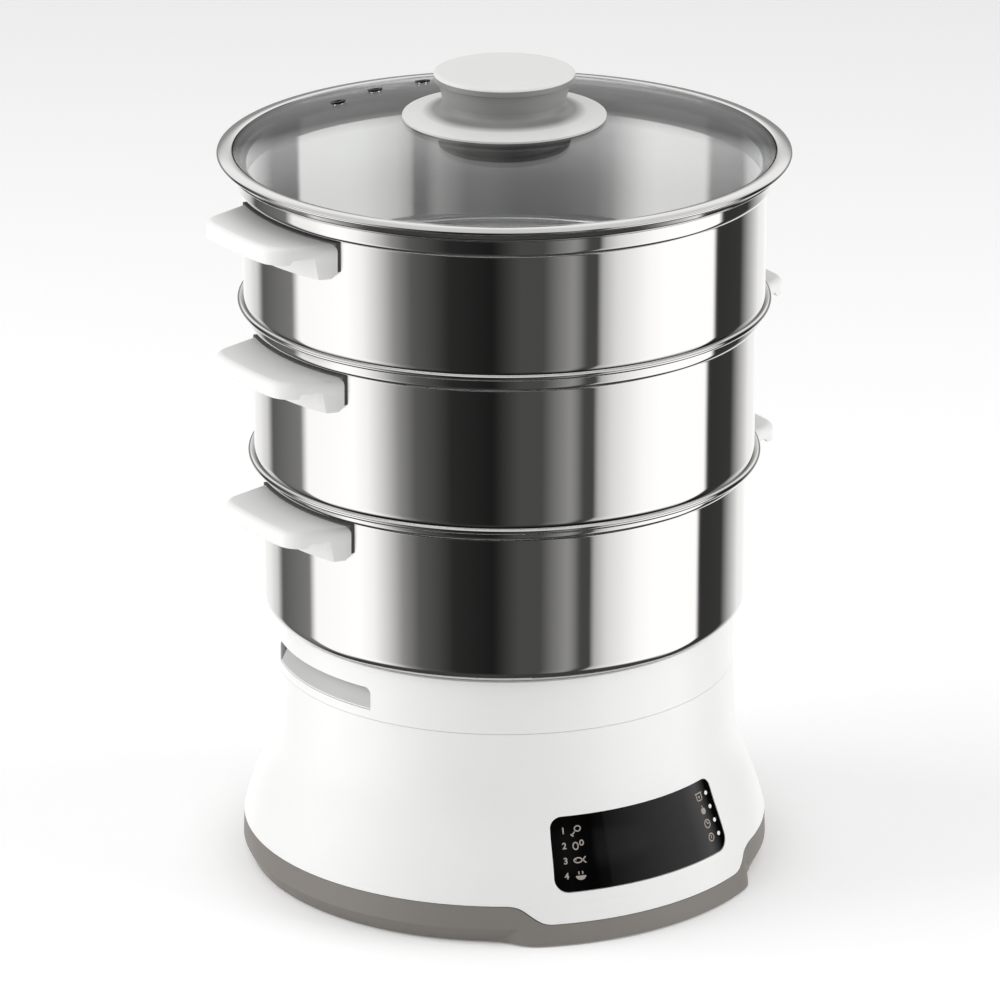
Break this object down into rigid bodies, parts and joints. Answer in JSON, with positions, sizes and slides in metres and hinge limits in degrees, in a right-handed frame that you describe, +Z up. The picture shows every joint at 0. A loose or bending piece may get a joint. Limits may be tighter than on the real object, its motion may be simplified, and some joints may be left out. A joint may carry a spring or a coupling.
{
  "type": "electric food steamer",
  "caption": "Tall round food steamer: touch-panel base with water tank and juice tray, stacked perforated steel bowls with side handles, and a domed glass lid.",
  "frame": {"origin": "on the table, under the tower's axis", "axes": "+Z up, the touch panel faces -Y, the bowls' handles stand out along +X and -X"},
  "size_m": [0.296, 0.2646, 0.3815],
  "materials": {
    "white_plastic": "satin moulded",
    "grey_plastic": "fine grain moulded",
    "panel_gloss": "gloss, printed from behind",
    "polished_steel": "polished stainless",
    "plain_steel": "plain stainless sheet",
    "zinc_steel": "zinc plated",
    "clear_glass": "tempered, clear",
    "aluminium_cast": "as cast",
    "black_rubber": "matte",
    "silicone": "translucent, matte",
    "board_green": "solder mask",
    "black_plastic": "moulded",
    "tank_plastic": "moulded",
    "wire_red": "silicone sleeve"
  },
  "bodies": {
    "base": {"base_housing": "white_plastic", "bottom_cover": "grey_plastic", "control_panel": "panel_gloss", "rubber_feet": "black_rubber", "cover_screws": "zinc_steel", "cord_gland": "black_rubber", "water_reservoir": "tank_plastic", "heater_plate": "plain_steel", "heater_seal": "silicone", "heater_clamp_ring": "zinc_steel", "heater_screws": "zinc_steel", "heater_block": "aluminium_cast", "heating_element": "plain_steel", "thermostat": "black_plastic", "thermal_fuse": "zinc_steel", "power_board": "board_green", "board_screws": "zinc_steel", "transformer": "plain_steel", "relay": "black_plastic", "capacitor": "black_plastic", "terminal_block": "board_green", "buzzer": "black_plastic", "control_board": "board_green", "control_board_screws": "zinc_steel", "display_module": "black_plastic", "touch_springs": "zinc_steel", "indicator_leds": "white_plastic", "heater_leads": "wire_red", "panel_lead": "black_rubber"},
    "collector": {"juice_collector": "white_plastic", "juice_tray": "white_plastic", "chimney_tube": "white_plastic"},
    "bowl_1": {"bowl_1": "polished_steel", "bowl_floor_1": "polished_steel", "handle_right_1": "white_plastic", "handle_left_1": "white_plastic", "handle_brackets_1": "plain_steel", "handle_screws_1": "zinc_steel"},
    "bowl_2": {"bowl_2": "polished_steel", "bowl_floor_2": "polished_steel", "handle_right_2": "white_plastic", "handle_left_2": "white_plastic", "handle_brackets_2": "plain_steel", "handle_screws_2": "zinc_steel"},
    "bowl_3": {"bowl_3": "polished_steel", "bowl_floor_3": "polished_steel", "handle_right_3": "white_plastic", "handle_left_3": "white_plastic", "handle_brackets_3": "plain_steel", "handle_screws_3": "zinc_steel"},
    "lid": {"lid_ring": "polished_steel", "lid_glass": "clear_glass", "vent_eyelets": "polished_steel", "knob_body": "white_plastic", "knob_cap": "white_plastic", "knob_screw": "zinc_steel", "knob_washer": "plain_steel", "knob_seal": "silicone"}
  },
  "joints": [
    {"name": "collector_lift", "type": "slide", "parent": "base", "child": "collector", "axis": [0, 0, 1], "range_m": [0, 0.06]},
    {"name": "bowl_1_lift", "type": "slide", "parent": "collector", "child": "bowl_1", "axis": [0, 0, 1], "range_m": [0, 0.08]},
    {"name": "bowl_2_lift", "type": "slide", "parent": "bowl_1", "child": "bowl_2", "axis": [0, 0, 1], "range_m": [0, 0.08]},
    {"name": "bowl_3_lift", "type": "slide", "parent": "bowl_2", "child": "bowl_3", "axis": [0, 0, 1], "range_m": [0, 0.08]},
    {"name": "lid_lift", "type": "slide", "parent": "bowl_3", "child": "lid", "axis": [0, 0, 1], "range_m": [0, 0.08]}
  ]
}
